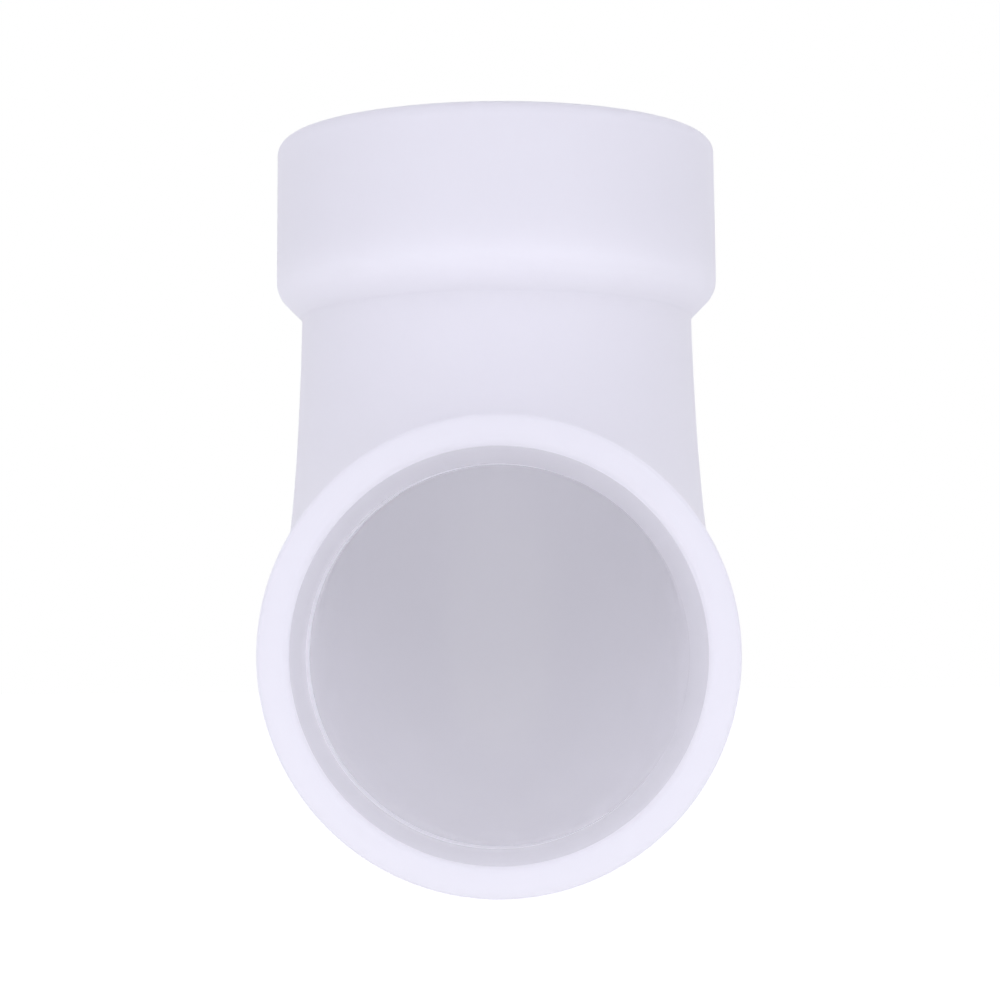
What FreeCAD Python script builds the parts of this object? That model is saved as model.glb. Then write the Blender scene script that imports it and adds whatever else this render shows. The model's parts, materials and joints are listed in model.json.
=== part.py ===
import FreeCAD, Part
import math
import os

# Street elbow: a white plastic drain fitting, moulded in one piece.
# A plain spigot at one end goes into another fitting's socket, a quarter bend turns the flow,
# and a socket in the hub at the other end takes a pipe.
# Sizes are in millimetres and angles in degrees. The spigot's end face is at y = 0, its axis is
# the Y axis and it is open towards -Y. The hub's axis is vertical, with its mouth at the top.
# The plane x = 0 is the mirror plane.

# Spigot: as wide outside as the pipe, so that it fits the same sockets
spigot_diameter = 60.325
spigot_length = 20.8
spigot_wall = 4.05
spigot_bore_draft = 2.0
spigot_outer_edge_round = 0.5
spigot_inner_edge_round = 0.8

# Small ledge round the bore, where the core that shaped the spigot met the one that shaped the bend
ledge_step = 0.2
ledge_slope = 45.0

# Bend: its wall is thickest next to the spigot and thins towards the hub
bend_radius = 57.0
bend_wall_at_spigot = 6.2
bend_wall_at_hub = 4.9
bend_swell_angle = 14.0
bend_swell_sections = 4
bend_sections = 12

# Socket in the hub, with a flat stop for the pipe's end and a short straight waterway below it
socket_clearance = 0.075
socket_depth = 20.0
socket_mouth_round = 0.6
stop_edge_round = 1.0
leg_below_socket = 2.5

# Band round the hub and the sloping shoulder under it
hub_wall_at_rim = 3.7
hub_band_draft = 0.5
hub_band_below_socket = 3.6
hub_rim_round = 2.0
hub_foot_round = 4.6
hub_shoulder_slope = 45.0

# Worked out from the sizes above
quarter_turn = 90.0
spigot_radius = spigot_diameter / 2
bore_mouth_radius = spigot_radius - spigot_wall
bore_end_radius = bore_mouth_radius - spigot_length * math.tan(math.radians(spigot_bore_draft))
waterway_radius = bore_end_radius - ledge_step
ledge_start_y = spigot_length - ledge_step / math.tan(math.radians(ledge_slope))
hub_axis_y = spigot_length + bend_radius
socket_radius = spigot_radius + socket_clearance / 2
socket_bottom_z = bend_radius + leg_below_socket
hub_mouth_z = socket_bottom_z + socket_depth
hub_foot_z = socket_bottom_z - hub_band_below_socket
hub_rim_radius = socket_radius + hub_wall_at_rim
hub_foot_radius = hub_rim_radius + (hub_mouth_z - hub_foot_z) * math.tan(math.radians(hub_band_draft))
shoulder_end_radius = waterway_radius + bend_wall_at_hub / 2
shoulder_end_z = hub_foot_z - (hub_foot_radius - shoulder_end_radius) * math.tan(
    math.radians(hub_shoulder_slope))

across = FreeCAD.Vector(1, 0, 0)
along_spigot = FreeCAD.Vector(0, 1, 0)
up = FreeCAD.Vector(0, 0, 1)
spigot_mouth = FreeCAD.Vector(0, 0, 0)
hub_foot = FreeCAD.Vector(0, hub_axis_y, 0)
bend_centre = FreeCAD.Vector(0, spigot_length, bend_radius)


def turned(outline, start, axis):
    """Solid turned about an axis from the corners of its outline, as (radius, distance along the axis)."""
    corners = [start + across * radius + axis * distance for radius, distance in outline]
    face = Part.Face(Part.makePolygon(corners + corners[:1]))
    return face.revolve(start, axis, 360)


def bend_section(radius, angle):
    """Circle across the bend, turned from the spigot's end of it through an angle towards the hub."""
    circle = Part.makeCircle(radius, along_spigot * spigot_length, along_spigot)
    section = Part.Wire(circle)
    section.rotate(bend_centre, across, angle)
    return section


def body_radius(angle):
    """Outside radius of the bend: swells smoothly from the spigot's, then thins evenly to the hub."""
    share = angle / quarter_turn
    wall = bend_wall_at_spigot + (bend_wall_at_hub - bend_wall_at_spigot) * share
    swell = min(angle / bend_swell_angle, 1.0)
    swell = swell * swell * (3 - 2 * swell)
    return spigot_radius + (waterway_radius + wall - spigot_radius) * swell


def bend_angles():
    """Angles of the sections: close together where the bend swells, and evenly spaced after that."""
    swelling = [bend_swell_angle * i / bend_swell_sections for i in range(bend_swell_sections)]
    rest = quarter_turn - bend_swell_angle
    return swelling + [bend_swell_angle + rest * i / bend_sections for i in range(bend_sections + 1)]


def spigot_outside():
    """Plain end: a straight round bar of the pipe's diameter."""
    return turned([(0, 0), (spigot_radius, 0), (spigot_radius, spigot_length), (0, spigot_length)],
                  spigot_mouth, along_spigot)


def bend_outside():
    """Quarter bend, lofted through circles whose radius follows the wall."""
    sections = [bend_section(body_radius(angle), angle) for angle in bend_angles()]
    return Part.makeLoft(sections, True, False)


def hub_outside():
    """Hub: shoulder, drafted band and flat rim, with the shoulder's narrow end inside the bend's wall."""
    return turned([(0, shoulder_end_z), (shoulder_end_radius, shoulder_end_z),
                   (hub_foot_radius, hub_foot_z), (hub_rim_radius, hub_mouth_z), (0, hub_mouth_z)],
                  hub_foot, up)


def spigot_bore():
    """Drafted straight bore, ending in the small sloping ledge down to the waterway."""
    ledge_start_radius = bore_mouth_radius - ledge_start_y * math.tan(math.radians(spigot_bore_draft))
    return turned([(0, 0), (bore_mouth_radius, 0), (ledge_start_radius, ledge_start_y),
                   (waterway_radius, spigot_length), (0, spigot_length)],
                  spigot_mouth, along_spigot)


def bend_bore():
    """Waterway round the bend: a disc swung about the bend's centre."""
    disc = Part.Face(bend_section(waterway_radius, 0))
    return disc.revolve(bend_centre, across, quarter_turn)


def hub_bore():
    """Straight waterway up to the stop, and the socket above it."""
    return turned([(0, bend_radius), (waterway_radius, bend_radius), (waterway_radius, socket_bottom_z),
                   (socket_radius, socket_bottom_z), (socket_radius, hub_mouth_z), (0, hub_mouth_z)],
                  hub_foot, up)


def round_edge(shape, centre, radius, rounding):
    """Rounds the circular edge that has this centre and radius."""
    close = 0.001
    edges = [edge for edge in shape.Edges
             if isinstance(edge.Curve, Part.Circle)
             and abs(edge.Curve.Radius - radius) < close
             and edge.Curve.Center.distanceToPoint(centre) < close]
    return shape.makeFillet(rounding, edges)


def elbow():
    """The whole fitting: its outside less its waterway, with the edges rounded as they are moulded."""
    outside = spigot_outside().fuse([bend_outside(), hub_outside()])
    passage = spigot_bore().fuse([bend_bore(), hub_bore()])
    fitting = outside.cut(passage).removeSplitter()
    rim_centre = hub_foot + up * hub_mouth_z
    roundings = [
        (spigot_mouth, spigot_radius, spigot_outer_edge_round),
        (spigot_mouth, bore_mouth_radius, spigot_inner_edge_round),
        (rim_centre, hub_rim_radius, hub_rim_round),
        (rim_centre, socket_radius, socket_mouth_round),
        (hub_foot + up * hub_foot_z, hub_foot_radius, hub_foot_round),
        (hub_foot + up * socket_bottom_z, waterway_radius, stop_edge_round),
    ]
    for centre, radius, rounding in roundings:
        fitting = round_edge(fitting, centre, radius, rounding)
    return fitting.Solids[0]


os.makedirs("parts", exist_ok=True)
elbow().exportStep("parts/elbow_body.step")
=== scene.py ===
# %% [markdown]
# # A white street elbow
#
# A street elbow turns a drain line through a quarter circle. One end is a spigot, as wide as
# the pipe itself, that goes straight into another fitting. The other end is a hub with a socket
# that takes a pipe. The whole thing is one shot of rigid white plastic, so it is one surface:
# its outside runs over the hub's rim, down the socket and back through the waterway.
#
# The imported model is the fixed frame. It says where every mating face lies, and nothing here
# moves it. The frame comes first, because all that follows is measured from it.

# %% Load the frame
import json
import math

import bpy
import numpy as np
from mathutils import Euler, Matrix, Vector


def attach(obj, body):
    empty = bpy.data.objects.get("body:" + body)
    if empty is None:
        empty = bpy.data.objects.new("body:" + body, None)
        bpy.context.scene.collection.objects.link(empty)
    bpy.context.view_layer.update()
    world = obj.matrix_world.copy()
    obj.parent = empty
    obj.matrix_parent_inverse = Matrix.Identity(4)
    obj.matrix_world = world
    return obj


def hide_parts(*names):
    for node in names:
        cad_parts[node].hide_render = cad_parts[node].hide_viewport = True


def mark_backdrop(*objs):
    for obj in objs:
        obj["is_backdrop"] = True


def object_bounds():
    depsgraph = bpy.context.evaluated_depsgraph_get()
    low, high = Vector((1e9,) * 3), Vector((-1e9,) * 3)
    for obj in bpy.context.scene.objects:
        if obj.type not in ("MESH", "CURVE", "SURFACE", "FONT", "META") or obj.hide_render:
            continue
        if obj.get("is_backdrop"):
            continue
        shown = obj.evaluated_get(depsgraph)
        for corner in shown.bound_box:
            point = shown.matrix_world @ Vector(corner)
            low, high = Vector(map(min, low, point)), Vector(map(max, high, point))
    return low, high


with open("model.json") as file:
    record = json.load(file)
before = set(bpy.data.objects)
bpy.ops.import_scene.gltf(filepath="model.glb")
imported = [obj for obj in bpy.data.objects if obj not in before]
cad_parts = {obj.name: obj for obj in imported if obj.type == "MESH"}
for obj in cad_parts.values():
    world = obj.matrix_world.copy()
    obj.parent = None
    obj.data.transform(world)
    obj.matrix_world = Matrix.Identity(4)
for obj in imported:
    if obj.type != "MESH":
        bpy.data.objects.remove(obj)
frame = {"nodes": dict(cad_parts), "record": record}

cad_low, cad_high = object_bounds()
print("frame:", sorted(frame["nodes"]), "from", cad_low[:], "to", cad_high[:])

# %% [markdown]
# ## Sizes
#
# Two interfaces of the frame give the sizes that other parts depend on: the spigot's radius,
# the socket's radius, the place of the hub's axis and the height of its mouth. What is left is
# the fitting's own: its walls, its bend and its roundings. Each has a name here, in metres, so
# that a length in a formula can be read as a size on the real thing.

# %% Sizes from the frame
MM = 0.001
mounts = {mount["name"]: mount for mount in frame["record"]["mounts"]}
spigot_radius = mounts["spigot"]["dims"]["r_mm"] * MM
socket_radius = mounts["hub_socket"]["dims"]["r_mm"] * MM
hub_axis_y = mounts["hub_socket"]["pos_m"][1]
hub_mouth_z = cad_high.z
print("spigot radius", spigot_radius, "socket radius", socket_radius,
      "hub axis at", hub_axis_y, "mouth at", round(hub_mouth_z, 5))

# %% Sizes of the fitting's own
spigot_length = 20.8 * MM
spigot_wall = 4.05 * MM
bore_draft = math.radians(2)
ledge_step = 0.2 * MM
ledge_slope = math.radians(60)
socket_depth = 20.0 * MM
band_below_socket = 3.6 * MM
hub_wall_at_rim = 3.7 * MM
band_draft = math.radians(0.5)
shoulder_slope = math.radians(45)
bend_wall_at_spigot = 6.2 * MM
bend_wall_at_hub = 4.9 * MM
bend_swell_angle = math.radians(14)

bend_radius = hub_axis_y - spigot_length
bore_mouth_radius = spigot_radius - spigot_wall
waterway_radius = bore_mouth_radius - spigot_length * math.tan(bore_draft) - ledge_step
ledge_start_y = spigot_length - ledge_step / math.tan(ledge_slope)
ledge_start_radius = bore_mouth_radius - ledge_start_y * math.tan(bore_draft)
stop_z = hub_mouth_z - socket_depth
hub_foot_z = stop_z - band_below_socket
hub_rim_radius = socket_radius + hub_wall_at_rim
hub_foot_radius = hub_rim_radius + (hub_mouth_z - hub_foot_z) * math.tan(band_draft)
print("bend radius", round(bend_radius, 5), "waterway radius", round(waterway_radius, 5),
      "widest", round(hub_foot_radius, 5), "and the frame's", round(cad_high.x, 5))

# %% [markdown]
# ## An outline with round corners
#
# Both ends of the fitting are turned shapes: the mould maker cut them on a lathe, from an
# outline of straight stretches with every corner rounded. A bevel modifier could round the
# corners of a finished mesh, but it would choose where its rows go. Here the outline is drawn
# with its arcs in it, so each row of the surface lies where the shape needs one: close together
# round an edge and next to it, and far apart along a straight wall.

# %% Outline helper
def corner_arc(before, corner, after, radius, count):
    """Arc that touches both straights at a corner. Its centre lies on the corner's bisector, at
    radius / sin(half the corner's angle), and its points turn evenly from one touch to the other."""
    to_before = (before - corner) / np.linalg.norm(before - corner)
    to_after = (after - corner) / np.linalg.norm(after - corner)
    half = math.acos(np.clip(to_before @ to_after, -1, 1)) / 2
    bisector = (to_before + to_after) / np.linalg.norm(to_before + to_after)
    centre = corner + bisector * radius / math.sin(half)
    first = corner + to_before * radius / math.tan(half) - centre
    last = corner + to_after * radius / math.tan(half) - centre
    turn = math.pi - 2 * half
    share = np.linspace(0, 1, count)[:, None]
    return centre + (np.sin((1 - share) * turn) * first + np.sin(share * turn) * last) / math.sin(turn)


def straight(start, end, count):
    """Points between two ends, without the ends, spaced as half a cosine wave: closest at both
    ends."""
    share = (1 - np.cos(np.linspace(0, np.pi, count + 2)[1:-1, None])) / 2
    return start + (end - start) * share


def rounded_outline(corners, rounds, arc_rows, straight_rows):
    """Outline through corners (radius, distance along the axis), each inner corner with its own
    rounding. It starts at the first corner and stops at the last."""
    corners = np.array(corners, float)
    arcs = [corner_arc(*corners[i:i + 3], rounds[i], arc_rows[i]) for i in range(len(rounds))]
    ends = [corners[:1], *arcs, corners[-1:]]
    pieces = [ends[0]]
    for i, rows in enumerate(straight_rows):
        pieces += [straight(ends[i][-1], ends[i + 1][0], rows), ends[i + 1]]
    return np.concatenate(pieces)


square_corner = np.array([[1.0, 0.0], [0.0, 0.0], [0.0, 1.0]])
print("an arc of radius 0.5 in a square corner goes through",
      corner_arc(*square_corner, radius=0.5, count=3).round(3).tolist())

# %% [markdown]
# ## The two turned ends
#
# The spigot is plain: a rounded outer edge, so that it starts easily into a socket, a flat end
# face, a softer inner edge and a bore with the draft that lets its core slide out. The bore
# ends in a ledge a fifth of a millimetre high. It marks where the straight core of the mould
# met the curved one, and it catches a thin line of light inside the open end.
#
# The hub is the thicker end. From its shoulder the outline goes round the foot of the band, up
# the drafted side, over the rim, down the socket, across the flat stop for the pipe's end and
# into the waterway.

# %% Outlines of the spigot and the hub
outer_edge_round = 0.5 * MM
inner_edge_round = 0.8 * MM
ledge_round = 0.06 * MM
hub_foot_round = 4.6 * MM
hub_rim_round = 2.0 * MM
socket_mouth_round = 0.6 * MM
socket_corner_round = 0.4 * MM
stop_edge_round = 1.0 * MM
ledge_run_in = 0.6 * MM

face_middle = ((spigot_radius + bore_mouth_radius) / 2, 0)
spigot_outline = rounded_outline(
    [face_middle, (spigot_radius, 0), (spigot_radius, spigot_length)],
    [outer_edge_round], [9], [4, 12])
bore_outline = rounded_outline(
    [(waterway_radius, spigot_length + ledge_run_in), (waterway_radius, spigot_length),
     (ledge_start_radius, ledge_start_y), (bore_mouth_radius, 0), face_middle],
    [ledge_round, ledge_round, inner_edge_round], [6, 6, 11], [2, 1, 12, 4])
shoulder_foot = (hub_foot_radius - bend_wall_at_hub,
                 hub_foot_z - bend_wall_at_hub * math.tan(shoulder_slope))
hub_outline = rounded_outline(
    [shoulder_foot, (hub_foot_radius, hub_foot_z), (hub_rim_radius, hub_mouth_z),
     (socket_radius, hub_mouth_z), (socket_radius, stop_z), (waterway_radius, stop_z),
     (waterway_radius, bend_radius)],
    [hub_foot_round, hub_rim_round, socket_mouth_round, socket_corner_round, stop_edge_round],
    [17, 17, 9, 5, 9], [0, 12, 5, 12, 6, 3])[1:]
print("rows:", len(spigot_outline), "spigot,", len(bore_outline), "bore,", len(hub_outline), "hub")

# %% [markdown]
# ## The bend
#
# The bend is a profile carried along a path: a circle that swings through a quarter turn about
# the bend's centre. A curve object with a round bevel would draw a pipe of one thickness. This
# wall isn't even: it swells just behind the spigot and thins towards the hub, so the circle's
# radius is a function of the angle, and the whole grid of angle by direction is one formula.
#
# The shoulder of the hub is a cone that meets the bend in a curve that isn't quite level. For
# each direction round the pipe the angle of that curve is found by going to and fro between the
# cone and the bend until they agree, and the bend's lines are then stretched to end there.

# %% Bend formulas
directions = 256
theta = np.linspace(0, 2 * np.pi, directions, endpoint=False)


def body_radius(angle):
    """Outside radius of the bend: the waterway's plus a wall that thins evenly with the angle, and
    over the first few degrees a smooth swell, 3 s s - 2 s s s, from the spigot's radius up to it."""
    share = angle / (np.pi / 2)
    wall = bend_wall_at_spigot + (bend_wall_at_hub - bend_wall_at_spigot) * share
    swell = np.clip(angle / bend_swell_angle, 0, 1)
    return spigot_radius + (waterway_radius + wall - spigot_radius) * swell * swell * (3 - 2 * swell)


def bend_points(angle, direction, radius):
    """Circle of a radius carried round the bend: across is radius sin(direction), and the distance
    from the bend's centre is bend radius + radius cos(direction), turned through the angle from
    straight down."""
    reach = bend_radius + radius * np.cos(direction)
    return np.stack(np.broadcast_arrays(radius * np.sin(direction),
                                        spigot_length + reach * np.sin(angle),
                                        bend_radius - reach * np.cos(angle)), axis=-1)


def shoulder_angle(direction, first_guess=np.radians(85), rounds=12):
    """Angle at which the bend meets the shoulder's cone, for each direction: the cone's height at
    the bend's distance from the hub's axis gives a new angle, and so on until it stays."""
    angle = np.full_like(direction, first_guess)
    for _ in range(rounds):
        point = bend_points(angle, direction, body_radius(angle))
        from_axis = np.hypot(point[:, 0], point[:, 1] - hub_axis_y)
        height = hub_foot_z - (hub_foot_radius - from_axis) * math.tan(shoulder_slope)
        reach = bend_radius + body_radius(angle) * np.cos(direction)
        angle = np.arccos((bend_radius - height) / reach)
    return angle


root_angle = shoulder_angle(theta)
print("the shoulder starts at", np.degrees(root_angle.min()).round(2), "to",
      np.degrees(root_angle.max()).round(2), "degrees round the bend")

# %% [markdown]
# ## Rings
#
# Every stretch gives its points as rings: one row for each place along the outline, one column
# for each direction. Put in order, the rings go once round the wall of the fitting, from the
# middle of the spigot's face over the outside, the hub and the waterway and back to that face.
# The last ring joins the first, so the surface closes by itself, with no pole and no seam.
#
# Both turned ends only need their outline swung about an axis. A spin in the mesh editor would
# do that too, but the bend's rings have to follow on from theirs, point by point.

# %% Ring helpers
def spigot_rings(outline, sideways=0):
    """Outline turned about the Y axis: direction 0 points down, as it does where the bend begins.
    Sideways is a length for each ring and direction that is added to the radius."""
    radius, along = outline[:, :1] + sideways, outline[:, 1:]
    return np.stack(np.broadcast_arrays(radius * np.sin(theta), along,
                                        -radius * np.cos(theta)), axis=-1)


def hub_rings(outline):
    """Outline turned about the hub's axis: direction 0 points to the back, as it does where the
    bend ends."""
    radius, height = outline[:, :1], outline[:, 1:]
    return np.stack(np.broadcast_arrays(radius * np.sin(theta), hub_axis_y + radius * np.cos(theta),
                                        height), axis=-1)


def soft_corner(before, corner, after, count):
    """Soft inside corner: a curve from before to after that leans towards the corner, weighted
    (1 - t)(1 - t), 2 t (1 - t) and t t."""
    t = np.linspace(0, 1, count)[:, None, None]
    return (1 - t) ** 2 * before + 2 * t * (1 - t) * corner + t ** 2 * after


widest_of_hub = np.ptp(hub_rings(hub_outline)[..., 0])
print("across the hub, mm:", round(widest_of_hub / MM, 2))

# %% [markdown]
# From the spigot the outside follows the bend and ends in the shoulder's cone. Between the two
# lies a soft inside corner, half a millimetre to each side. The steel's edge is rounded there,
# because plastic cracks first at a sharp inside corner.

# %% Rings of the outside
bend_rows = 84
root_rows = 7
cone_rows = 4
root_reach = 0.5 * MM

bend_share = np.linspace(0, 1, bend_rows + 1)[1:, None]
bend_end = root_angle - root_reach / bend_radius
bend_angle = bend_share * bend_end
outside_bend = bend_points(bend_angle, theta, body_radius(bend_angle))
root_ring = bend_points(root_angle, theta, body_radius(root_angle))
cone_top = hub_rings(hub_outline[:1])[0]
cone_length = np.linalg.norm(cone_top - root_ring, axis=1)[:, None]
cone_foot = root_ring + (cone_top - root_ring) * root_reach / cone_length
root = soft_corner(outside_bend[-1], root_ring, cone_foot, root_rows)[1:]
cone_share = np.linspace(0, 1, cone_rows + 2)[1:-1, None, None]
cone = cone_foot + (cone_top - cone_foot) * cone_share
up_to_hub = np.concatenate([spigot_rings(spigot_outline), outside_bend, root, cone])
print("rings up to the hub:", len(up_to_hub), "and the hub's:", len(hub_outline))

# %% [markdown]
# The two cores didn't quite meet when this piece was moulded: the ledge shows low on the left in
# the picture and is lost on the right. The straight core leaned to the left, and the curved one
# lay to the right. So each ring of the bore is pushed sideways, by a length times
# cos(direction - direction of the lean): from nothing at the mouth to the whole lean at the
# ledge, and past it the other way, from the whole offset to nothing at the hub.

# %% Rings of the waterway
bore_rows = 72
core_lean = 0.14 * MM
core_offset = 0.15 * MM
lean_direction = math.radians(-70)

ledge_share = np.clip((bore_outline[:, :1] - waterway_radius) / ledge_step, 0, 1)
lean = core_lean * np.minimum(bore_outline[:, 1:] / ledge_start_y, ledge_share)
towards_lean = np.cos(theta - lean_direction)
bore_sideways = (lean - core_offset * (1 - ledge_share)) * towards_lean
bore_angle = np.linspace(np.pi / 2, math.asin(ledge_run_in / bend_radius), bore_rows + 2)[1:-1, None]
bend_sideways = -core_offset * np.cos(bore_angle) * towards_lean
inside_bend = bend_points(bore_angle, theta, waterway_radius + bend_sideways)
straight_bore = spigot_rings(bore_outline, bore_sideways)[:-1]
rings = np.concatenate([up_to_hub, hub_rings(hub_outline), inside_bend, straight_bore])
print("rings:", rings.shape[0], "by", rings.shape[1], "directions")

# %% [markdown]
# ## One closed surface
#
# The grid joins up both ways, like a ring doughnut's skin, so every corner belongs to four faces
# and the mesh is watertight by the way its faces are numbered. A boolean of tubes could give the
# same shape, with slivers and long thin faces that show in a glossy surface.
#
# The volume that the faces enclose is the best test of the whole drawing. It is worked out from
# the mesh and held against the frame's solid.

# %% Build the fitting
def grid_faces(rows, columns):
    """Four-cornered faces of a grid that joins up both ways. Each goes one row on, one column on
    and back, so that it faces outward where rows run along the outside and columns round it."""
    index = np.arange(rows * columns).reshape(rows, columns)
    next_row = np.roll(index, -1, axis=0)
    return np.stack([index, next_row, np.roll(next_row, -1, axis=1), np.roll(index, -1, axis=1)],
                    axis=-1).reshape(-1, 4)


def enclosed_volume(mesh):
    """Sum over the triangles of a . (b x c) / 6, which is what the faces enclose."""
    mesh.calc_loop_triangles()
    corners = np.empty(len(mesh.loop_triangles) * 3, dtype=np.int32)
    mesh.loop_triangles.foreach_get("vertices", corners)
    points = np.empty(len(mesh.vertices) * 3, dtype=np.float32)
    mesh.vertices.foreach_get("co", points)
    a, b, c = points.reshape(-1, 3).astype(float)[corners].reshape(-1, 3, 3).transpose(1, 0, 2)
    return np.einsum("ij,ij->", a, np.cross(b, c)) / 6


skin = bpy.data.meshes.new("elbow_skin")
faces = grid_faces(*rings.shape[:2])
skin.from_pydata(rings.reshape(-1, 3), [], faces)
skin.polygons.foreach_set("use_smooth", np.ones(len(faces), dtype=bool))
skin.update()
elbow = bpy.data.objects.new("elbow_skin", skin)
bpy.context.collection.objects.link(elbow)
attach(elbow, "root")
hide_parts("elbow_body")
open_edges = len(skin.edges) * 2 - len(faces) * 4
print("triangles", len(faces) * 2, "open edges", open_edges,
      "volume cm3", round(enclosed_volume(skin) * 1e6, 3),
      "frame's", round(enclosed_volume(frame["nodes"]["elbow_body"].data) * 1e6, 3))

# %% [markdown]
# ## Which steel formed which face
#
# The outside was formed by the two halves of the mould and the inside by its cores. Cores are
# polished so that the fitting slides off them, and the halves are left duller, so the two
# sides don't shine alike. Every corner of the mesh carries that as a number: 0 outside, 1 inside,
# and a few rings in between where the two meet, on the hub's rim and the spigot's face.
#
# The spigot's end face reflects less than the rest. That is painted shade: it keeps the face no
# lighter than the outside around it. A second number marks it: 1 on the face, fading out round its
# edges.

# %% Mark the core side and the end face
fade_rows = 6
edge_depth = 0.8 * MM

row = np.arange(rings.shape[0])
rim_row = len(up_to_hub) + int(np.argmax(hub_outline[:, 1])) + 1
past_rim = np.clip((row - rim_row) / fade_rows, 0, 1)
before_face = np.clip((rings.shape[0] - row) / fade_rows, 0, 1)
core_side = past_rim * before_face
mark = skin.attributes.new("core_side", "FLOAT", "POINT")
mark.data.foreach_set("value", np.repeat(core_side, directions).astype(np.float32))
end_face = np.clip(1 - rings[..., 1] / edge_depth, 0, 1)
end_face_shade = skin.attributes.new("end_face", "FLOAT", "POINT")
end_face_shade.data.foreach_set("value", end_face.reshape(-1).astype(np.float32))
print("core side on", int((core_side > 0).sum()), "and end face on", int((end_face[:, 0] > 0).sum()),
      "of", rings.shape[0], "rings")

# %% [markdown]
# ## The plastic
#
# Rigid PVC for drains is filled white, a little glossy and faintly cool. Close up it isn't one
# flat tone: the melt leaves soft cloudy patches, and the steel leaves a fine grain and a slow
# waviness that break up a reflection. Both come from noise in the fitting's own coordinates, so
# they stay put when it turns. One group makes them, with the sizes as inputs in metres.

# %% Grain group
def group_socket(group, name, side, kind, value=None):
    """Adds a named input or output to a node group."""
    socket = group.interface.new_socket(name, in_out=side, socket_type=kind)
    if value is not None:
        socket.default_value = value


def noise_of_size(group, start, size_output, detail):
    """Noise whose patches are about as large as a size in metres: its scale is one over the size."""
    scale = group.nodes.new("ShaderNodeMath")
    scale.operation = "DIVIDE"
    scale.inputs[0].default_value = 1
    noise = group.nodes.new("ShaderNodeTexNoise")
    noise.inputs["Detail"].default_value = detail
    group.links.new(start.outputs[size_output], scale.inputs[1])
    group.links.new(start.outputs["Place"], noise.inputs["Vector"])
    group.links.new(scale.outputs[0], noise.inputs["Scale"])
    return noise


grain = bpy.data.node_groups.new("moulded_grain", "ShaderNodeTree")
group_socket(grain, "Place", "INPUT", "NodeSocketVector")
group_socket(grain, "Grain Size", "INPUT", "NodeSocketFloat", 0.4 * MM)
group_socket(grain, "Wave Size", "INPUT", "NodeSocketFloat", 9 * MM)
group_socket(grain, "Cloud Size", "INPUT", "NodeSocketFloat", 22 * MM)
group_socket(grain, "Wave Share", "INPUT", "NodeSocketFloat", 0.8)
group_socket(grain, "Height", "OUTPUT", "NodeSocketFloat")
group_socket(grain, "Cloud", "OUTPUT", "NodeSocketFloat")
group_in = grain.nodes.new("NodeGroupInput")
group_out = grain.nodes.new("NodeGroupOutput")
fine = noise_of_size(grain, group_in, "Grain Size", detail=2)
wave = noise_of_size(grain, group_in, "Wave Size", detail=1)
cloud = noise_of_size(grain, group_in, "Cloud Size", detail=3)
blend_heights = grain.nodes.new("ShaderNodeMix")
grain.links.new(group_in.outputs["Wave Share"], blend_heights.inputs["Factor"])
grain.links.new(fine.outputs["Fac"], blend_heights.inputs["A"])
grain.links.new(wave.outputs["Fac"], blend_heights.inputs["B"])
grain.links.new(blend_heights.outputs["Result"], group_out.inputs["Height"])
grain.links.new(cloud.outputs["Fac"], group_out.inputs["Cloud"])
print("group", grain.name, [item.name for item in grain.interface.items_tree])

# %% [markdown]
# The material keeps its shader and its constants to itself. The wall is only a few millimetres
# thick, so some light comes through it, and that is why the waterway of a white fitting never
# looks black. Subsurface scattering gives that, where a lamp hidden in the waterway would only
# suit one view.

# %% Plastic material
plastic = bpy.data.materials.new("white_plastic")
plastic.use_nodes = True
nodes, links = plastic.node_tree.nodes, plastic.node_tree.links
shader = nodes["Principled BSDF"]
shader.inputs["IOR"].default_value = 1.53
shader.inputs["Subsurface Weight"].default_value = 1.0
shader.inputs["Subsurface Radius"].default_value = (1, 1, 1)
shader.inputs["Subsurface Scale"].default_value = 20 * MM
place = nodes.new("ShaderNodeTexCoord")
pattern = nodes.new("ShaderNodeGroup")
pattern.node_tree = grain
bump = nodes.new("ShaderNodeBump")
bump.inputs["Strength"].default_value = 0.6
bump.inputs["Distance"].default_value = 0.03 * MM
links.new(place.outputs["Object"], pattern.inputs["Place"])
links.new(pattern.outputs["Height"], bump.inputs["Height"])
links.new(bump.outputs["Normal"], shader.inputs["Normal"])
skin.materials.append(plastic)
print("material", plastic.name, "on", elbow.name)

# %% [markdown]
# The cloudy patches move the colour between two near whites and the outside's roughness within
# a narrow range. The polished core side is smoother than the outside. It is also a shade whiter,
# which is painted light: it lifts the waterway, where less light reaches. The end face reflects
# less than the rest, which is painted shade that keeps it no lighter than the outside around it.
# Each of these is a mix of two values by a number that changes over the surface.

# %% Tone, roughness and sheen
outer_tones = (0.930, 0.920, 0.940, 1), (0.950, 0.940, 0.960, 1)
# The core side's tones are a shade whiter than the outside's: painted light that lifts the waterway,
# where less light reaches.
painted_light_core_tones = (0.958, 0.948, 0.968, 1), (0.972, 0.962, 0.982, 1)
outer_roughnesses = 0.50, 0.58
core_roughness = 0.22
# The end face's lower sheen is painted shade: it keeps the face no lighter than the outside around it.
moulded_sheen, painted_shade_sheen = 0.5, 0.1


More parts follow.
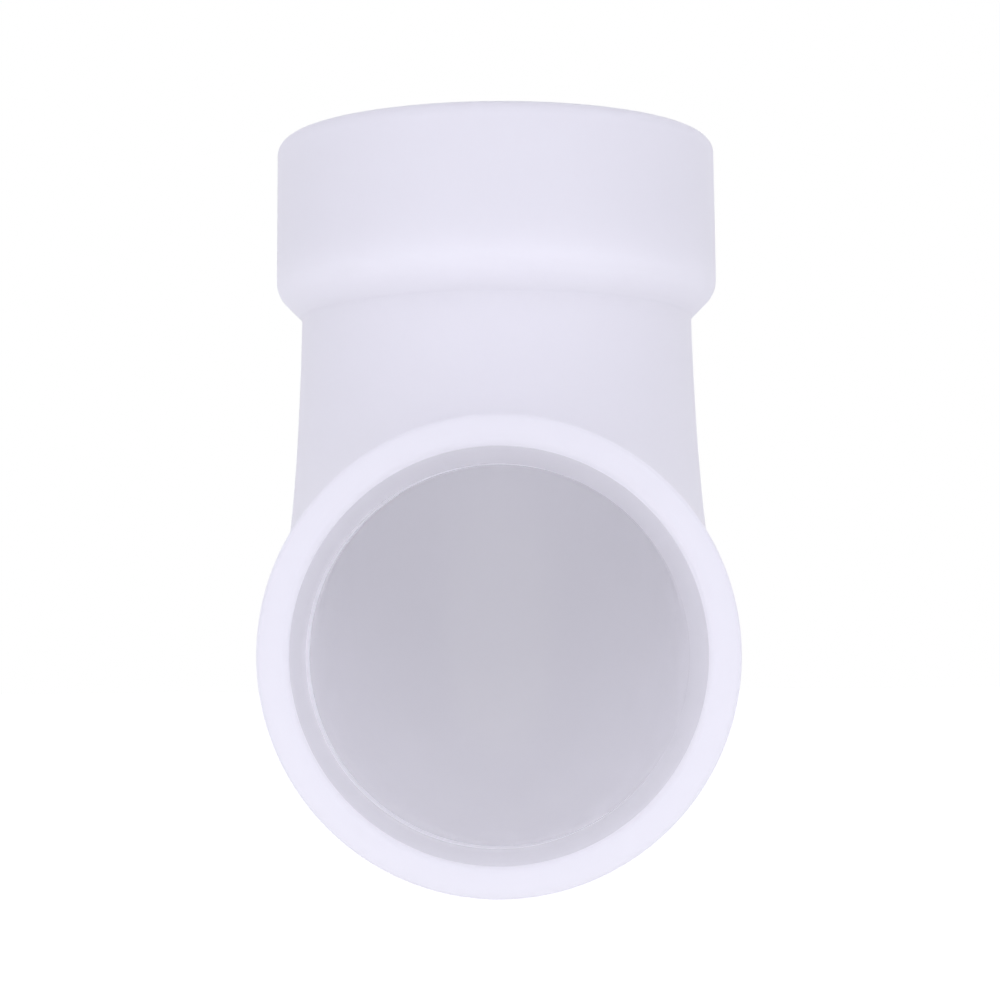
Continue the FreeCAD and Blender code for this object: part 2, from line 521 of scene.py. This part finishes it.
def mix_of(kind, factor, low, high):
    """Result of a mix node between two constants or sockets, by a factor. The node has sockets for
    every kind of data, and the last two inputs of its own kind are the two ends."""
    mix = nodes.new("ShaderNodeMix")
    mix.data_type = kind
    socket_type = "VALUE" if kind == "FLOAT" else kind
    ends = [socket for socket in mix.inputs if socket.type == socket_type][-2:]
    for end, value in zip(ends, (low, high)):
        if isinstance(value, bpy.types.NodeSocket):
            links.new(value, end)
        else:
            end.default_value = value
    links.new(factor, mix.inputs["Factor"])
    return next(socket for socket in mix.outputs if socket.type == socket_type)


def mark_of(name):
    """Number that each corner of the mesh carries under a name."""
    attribute = nodes.new("ShaderNodeAttribute")
    attribute.attribute_name = name
    return attribute.outputs["Fac"]


clouds = pattern.outputs["Cloud"]
on_core_side, on_end_face = mark_of("core_side"), mark_of("end_face")
outer_tone = mix_of("RGBA", clouds, *outer_tones)
painted_light_core_tone = mix_of("RGBA", clouds, *painted_light_core_tones)
outer_roughness = mix_of("FLOAT", clouds, *outer_roughnesses)
# Inside, the whiter core tone is painted light.
tone = mix_of("RGBA", on_core_side, outer_tone, painted_light_core_tone)
roughness = mix_of("FLOAT", on_core_side, outer_roughness, core_roughness)
sheen = mix_of("FLOAT", on_end_face, moulded_sheen, painted_shade_sheen)
links.new(tone, shader.inputs["Base Color"])
links.new(roughness, shader.inputs["Roughness"])
links.new(sheen, shader.inputs["Specular IOR Level"])
print("linked to the shader:", [socket.name for socket in shader.inputs if socket.is_linked])

# %% [markdown]
# ## Light
#
# The picture has the even light of a white tent: it comes from all round, so the outside is
# nearly one tone, and only the waterway, which sees little of the tent, falls darker. A white
# world does that, with the faint lavender cast of the picture. Its front half, behind the camera,
# is the lighter one, and changes over into the back by the Y of a direction, which is -1 straight
# in front and 1 straight behind. The camera and the reflections see plain white instead.

# %% World
tent_tint = (0.955, 0.94, 1.08)
front_side = {"ends": -0.25, "strength": 0.86}
back_side = {"starts": 0.15, "strength": 0.50}

world = bpy.data.worlds.new("tent")
bpy.context.scene.world = world
world.use_nodes = True
tent = world.node_tree
cloth = tent.nodes["Background"]
cloth.inputs["Color"].default_value = (*tent_tint, 1)
backdrop = tent.nodes.new("ShaderNodeBackground")
backdrop.inputs["Color"].default_value = (1, 1, 1, 1)
backdrop.inputs["Strength"].default_value = 1.0
direction = tent.nodes.new("ShaderNodeTexCoord")
parts = tent.nodes.new("ShaderNodeSeparateXYZ")
front_to_back = tent.nodes.new("ShaderNodeMapRange")
front_to_back.inputs["From Min"].default_value = front_side["ends"]
front_to_back.inputs["From Max"].default_value = back_side["starts"]
front_to_back.inputs["To Min"].default_value = front_side["strength"]
front_to_back.inputs["To Max"].default_value = back_side["strength"]
ray = tent.nodes.new("ShaderNodeLightPath")
seen = tent.nodes.new("ShaderNodeMath")
seen.operation = "MAXIMUM"
either = tent.nodes.new("ShaderNodeMixShader")
tent.links.new(direction.outputs["Generated"], parts.inputs["Vector"])
tent.links.new(parts.outputs["Y"], front_to_back.inputs["Value"])
tent.links.new(front_to_back.outputs["Result"], cloth.inputs["Strength"])
tent.links.new(ray.outputs["Is Camera Ray"], seen.inputs[0])
tent.links.new(ray.outputs["Is Glossy Ray"], seen.inputs[1])
tent.links.new(seen.outputs[0], either.inputs["Fac"])
tent.links.new(cloth.outputs[0], either.inputs[1])
tent.links.new(backdrop.outputs[0], either.inputs[2])
tent.links.new(either.outputs[0], tent.nodes["World Output"].inputs["Surface"])
print("tent strength in front", front_side["strength"], "and behind", back_side["strength"])

# %% [markdown]
# Three soft boxes stand in front. Two are about a third of a right angle to the left and right of
# the camera and a little above it. They reach through the open end to the side walls of the bend,
# which are lighter than its middle in the picture, and the right one makes the thin line on the
# ledge. The third is weaker and hangs above the camera. Its light falls on the floor of the bend,
# which is lighter in the picture than the deep wall over it.

# %% Soft boxes
box_distance = 0.9
box_size = 0.35
side_box = {"height": math.radians(5), "watts": 0.9}
top_box = {"height": math.radians(27), "watts": 0.35}
side_box_aside = math.radians(32)
box_target = Vector((0, hub_axis_y / 2, 0))

soft_boxes = []
for aside, box in ((-side_box_aside, side_box), (side_box_aside, side_box), (0, top_box)):
    soft_box = bpy.data.objects.new("soft_box", bpy.data.lights.new("soft_box", "AREA"))
    soft_box.data.shape = "DISK"
    soft_box.data.size = box_size
    soft_box.data.energy = box["watts"]
    soft_box.data.color = tent_tint
    soft_box.location = box_distance * Vector((math.sin(aside) * math.cos(box["height"]),
                                               -math.cos(aside) * math.cos(box["height"]),
                                               math.sin(box["height"])))
    to_target = box_target - soft_box.location
    soft_box.rotation_euler = to_target.to_track_quat("-Z", "Y").to_euler()
    bpy.context.collection.objects.link(soft_box)
    soft_boxes.append(soft_box)
print("soft boxes at", [tuple(round(x, 3) for x in soft_box.location) for soft_box in soft_boxes])

# %% [markdown]
# ## Floor
#
# The floor lies well under the fitting, because nothing in the picture touches it. It keeps its
# shadow for a view from above, and a share of its white is for the camera and reflections only,
# so that it meets the white backdrop without an edge.

# %% Floor
floor_drop = 60 * MM
floor_reach = 6.0
paper_white = (0.9, 0.9, 0.9, 1)
glow_on_things, glow_when_seen = 0.15, 0.55

floor_z = cad_low.z - floor_drop
floor_mesh = bpy.data.meshes.new("floor")
floor_mesh.from_pydata([(-floor_reach, -floor_reach, floor_z), (floor_reach, -floor_reach, floor_z),
                        (floor_reach, floor_reach, floor_z), (-floor_reach, floor_reach, floor_z)],
                       [], [(0, 1, 2, 3)])
floor = bpy.data.objects.new("floor", floor_mesh)
bpy.context.collection.objects.link(floor)
paper = bpy.data.materials.new("paper")
paper.use_nodes = True
sheet = paper.node_tree.nodes["Principled BSDF"]
sheet.inputs["Base Color"].default_value = paper_white
sheet.inputs["Roughness"].default_value = 0.9
sheet.inputs["Specular IOR Level"].default_value = 0.0
sheet.inputs["Emission Color"].default_value = (1, 1, 1, 1)
paper_ray = paper.node_tree.nodes.new("ShaderNodeLightPath")
paper_seen = paper.node_tree.nodes.new("ShaderNodeMath")
paper_seen.operation = "MAXIMUM"
glow = paper.node_tree.nodes.new("ShaderNodeMapRange")
glow.inputs["To Min"].default_value = glow_on_things
glow.inputs["To Max"].default_value = glow_when_seen
paper.node_tree.links.new(paper_ray.outputs["Is Camera Ray"], paper_seen.inputs[0])
paper.node_tree.links.new(paper_ray.outputs["Is Glossy Ray"], paper_seen.inputs[1])
paper.node_tree.links.new(paper_seen.outputs[0], glow.inputs["Value"])
paper.node_tree.links.new(glow.outputs["Result"], sheet.inputs["Emission Strength"])
floor_mesh.materials.append(paper)
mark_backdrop(floor, *soft_boxes)
print("floor at", round(floor_z, 4))

# %% [markdown]
# ## The camera
#
# The photo looks straight into the spigot's open end, and the hub shows above it. That puts the
# camera on the spigot's axis. Its distance comes from the outline: the hub lies 78 mm further
# back than the spigot's face and looks smaller than that face in a proportion that only one
# distance gives. It is pitched up a little, so that the hub fits in the picture. Its three
# angles are in radians.

# %% Camera
camera_distance = 0.3164
focal_pixels = 2547.5
picture_pixels = 1000
pitch, yaw, roll = 0.06076, -0.00081, 0.00701
camera = bpy.data.objects.new("camera", bpy.data.cameras.new("camera"))
camera.data.sensor_width = 36
camera.data.lens = focal_pixels * camera.data.sensor_width / picture_pixels
aim = Euler((math.pi / 2 + pitch, 0, yaw)).to_matrix() @ Euler((0, 0, -roll)).to_matrix()
camera.location = (0, -camera_distance, 0)
camera.rotation_euler = aim.to_euler()
bpy.context.collection.objects.link(camera)
bpy.context.scene.camera = camera
bpy.context.scene.view_settings.view_transform = "Standard"
print("lens", round(camera.data.lens, 2), "mm, pitch", round(math.degrees(pitch), 2), "degrees")

# %% [markdown]
# ## Held against the frame
#
# Last, the finished fitting's box is held against the frame's box from the start. The mating
# faces must be where they were.

# %% Finish
bpy.context.view_layer.update()
new_low, new_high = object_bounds()
largest = max((new_low - cad_low).length, (new_high - cad_high).length)
print("largest difference, mm:", round(largest / MM, 4))
